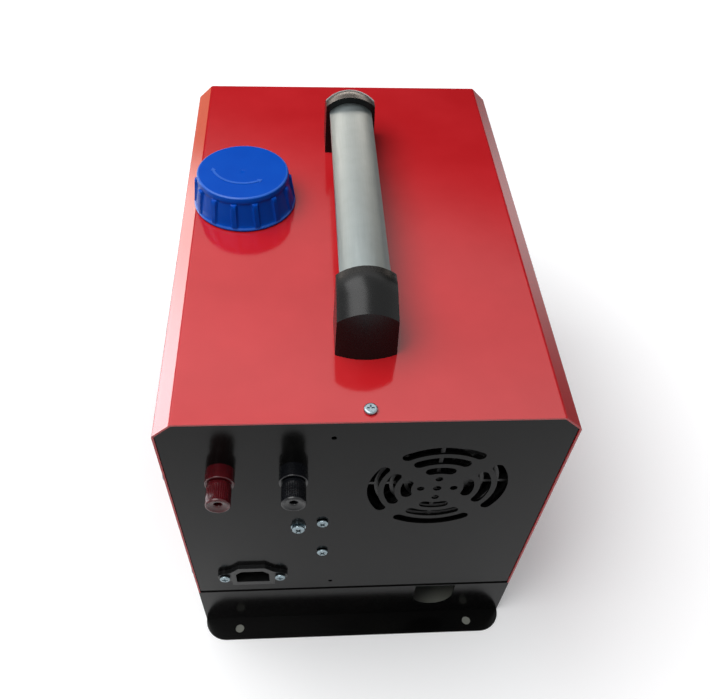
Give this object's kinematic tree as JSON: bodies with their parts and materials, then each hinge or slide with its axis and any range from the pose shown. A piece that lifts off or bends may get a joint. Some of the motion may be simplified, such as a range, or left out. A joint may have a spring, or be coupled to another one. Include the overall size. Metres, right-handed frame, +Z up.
{
  "type": "diesel air heater",
  "caption": "Portable diesel air heater in a sheet-metal case, with carrying handle, fuel cap, terminal posts, mains inlet, air grille and a turnable warm-air outlet.",
  "frame": {"origin": "on the floor, midway between the four foot holes", "axes": "+Z up; +X along the rear panel, from the terminals to the air grille; +Y from the rear panel to the front panel"},
  "size_m": [0.2446, 0.3912, 0.3073],
  "materials": {
    "red_paint": "gloss powder coat",
    "black_paint": "semi-gloss",
    "zinc": "bright zinc plate",
    "satin_tube": "satin",
    "dark_plastic": "satin",
    "tank_plastic": "satin",
    "black_rubber": "matt",
    "blue_plastic": "semi-gloss",
    "red_plastic": "gloss",
    "post_black": "gloss",
    "brass": "bright",
    "inlet_plastic": "semi-gloss",
    "supply_case": "satin",
    "lead_insulation": "satin",
    "clear_plastic": "satin",
    "steel": "satin",
    "line_plastic": "satin",
    "cast_aluminium": "as cast",
    "motor_paint": "satin",
    "lcd_glass": "gloss",
    "button_plastic": "satin",
    "rocker_plastic": "semi-gloss"
  },
  "bodies": {
    "case": {"cover": "red_paint", "base_tray": "black_paint", "rear_panel": "black_paint", "front_panel": "black_paint", "cover_screws": "zinc", "panel_screws": "zinc", "handle_screws": "zinc", "earth_screw": "zinc", "handle_end_front": "dark_plastic", "handle_end_rear": "dark_plastic", "handle_tube": "satin_tube", "fuel_tank": "tank_plastic", "neck_gasket": "black_rubber", "post_collar_red": "red_plastic", "post_collar_black": "post_black", "post_studs": "brass", "post_insulators": "dark_plastic", "post_nuts": "zinc", "inlet_socket": "inlet_plastic", "inlet_pins": "brass", "psu_bracket": "zinc", "power_supply": "supply_case", "ac_leads": "lead_insulation", "dc_leads": "lead_insulation", "fuel_filter": "clear_plastic", "fuel_pump": "steel", "pump_clamp": "black_rubber", "tank_hose": "black_rubber", "filter_hose": "black_rubber", "fuel_line": "line_plastic", "heater_stand": "steel", "exhaust_pipe": "steel", "air_intake_pipe": "dark_plastic", "pipe_clamps": "zinc", "core_lower_shell": "dark_plastic", "core_upper_shell": "dark_plastic", "intake_guard": "dark_plastic", "heat_exchanger": "cast_aluminium", "burner_tube": "steel", "glow_plug": "zinc", "blower_motor": "motor_paint", "control_unit": "dark_plastic", "outlet_collar": "dark_plastic", "controller_case": "dark_plastic", "lcd_window": "lcd_glass", "power_switch": "dark_plastic"},
    "rotor": {"rotor_shaft": "steel", "air_impeller": "dark_plastic", "combustion_impeller": "cast_aluminium"},
    "cap_seal": {"cap_seal": "black_rubber"},
    "fuel_cap": {"fuel_cap": "blue_plastic"},
    "post_washer_red": {"post_washer_red": "zinc"},
    "post_washer_black": {"post_washer_black": "zinc"},
    "post_cap_red": {"post_cap_red": "red_plastic"},
    "post_cap_black": {"post_cap_black": "post_black"},
    "outlet_louvre": {"outlet_louvre": "dark_plastic"},
    "controller_knob": {"controller_knob": "dark_plastic"},
    "button_power": {"button_power": "button_plastic"},
    "button_mode": {"button_mode": "button_plastic"},
    "power_rocker": {"power_rocker": "rocker_plastic"}
  },
  "joints": [
    {"name": "cap_rise", "type": "slide", "parent": "case", "child": "cap_seal", "axis": [0, 0, 1], "range_m": [0, 0.0081]},
    {"name": "cap_turn", "type": "hinge", "parent": "cap_seal", "child": "fuel_cap", "pos_m": [-0.0754, 0.0209, 0.275], "axis": [0, 0, 1], "range_deg": [0, 720]},
    {"name": "post_rise_red", "type": "slide", "parent": "case", "child": "post_washer_red", "axis": [0, -1, 0], "range_m": [0, 0.0051]},
    {"name": "post_turn_red", "type": "hinge", "parent": "post_washer_red", "child": "post_cap_red", "pos_m": [-0.0865, -0.19, 0.217], "axis": [0, -1, 0], "range_deg": [0, 1800]},
    {"name": "post_rise_black", "type": "slide", "parent": "case", "child": "post_washer_black", "axis": [0, -1, 0], "range_m": [0, 0.0051]},
    {"name": "post_turn_black", "type": "hinge", "parent": "post_washer_black", "child": "post_cap_black", "pos_m": [-0.0435, -0.19, 0.217], "axis": [0, -1, 0], "range_deg": [0, 1800]},
    {"name": "rotor_spin", "type": "hinge", "parent": "case", "child": "rotor", "pos_m": [0.0453, -0.12, 0.1928], "axis": [0, 1, 0], "continuous": true},
    {"name": "louvre_turn", "type": "hinge", "parent": "case", "child": "outlet_louvre", "pos_m": [0.0453, 0.17, 0.1928], "axis": [0, 1, 0], "continuous": true},
    {"name": "knob_turn", "type": "hinge", "parent": "case", "child": "controller_knob", "pos_m": [-0.092, 0.178, 0.184], "axis": [0, 1, 0], "continuous": true},
    {"name": "power_press", "type": "slide", "parent": "case", "child": "button_power", "axis": [0, -1, 0], "range_m": [0, 0.001], "stiffness_N_per_m": 600, "springref_m": -0.0005},
    {"name": "mode_press", "type": "slide", "parent": "case", "child": "button_mode", "axis": [0, -1, 0], "range_m": [0, 0.001], "stiffness_N_per_m": 600, "springref_m": -0.0005},
    {"name": "rocker_turn", "type": "hinge", "parent": "case", "child": "power_rocker", "pos_m": [-0.062, 0.1722, 0.088], "axis": [1, 0, 0], "range_deg": [0, 20]}
  ],
  "couplings": [
    {"joint": "cap_rise", "follows": "cap_turn", "m_per_rad": 0.00063662},
    {"joint": "post_rise_red", "follows": "post_turn_red", "m_per_rad": 0.00015915},
    {"joint": "post_rise_black", "follows": "post_turn_black", "m_per_rad": 0.00015915}
  ]
}
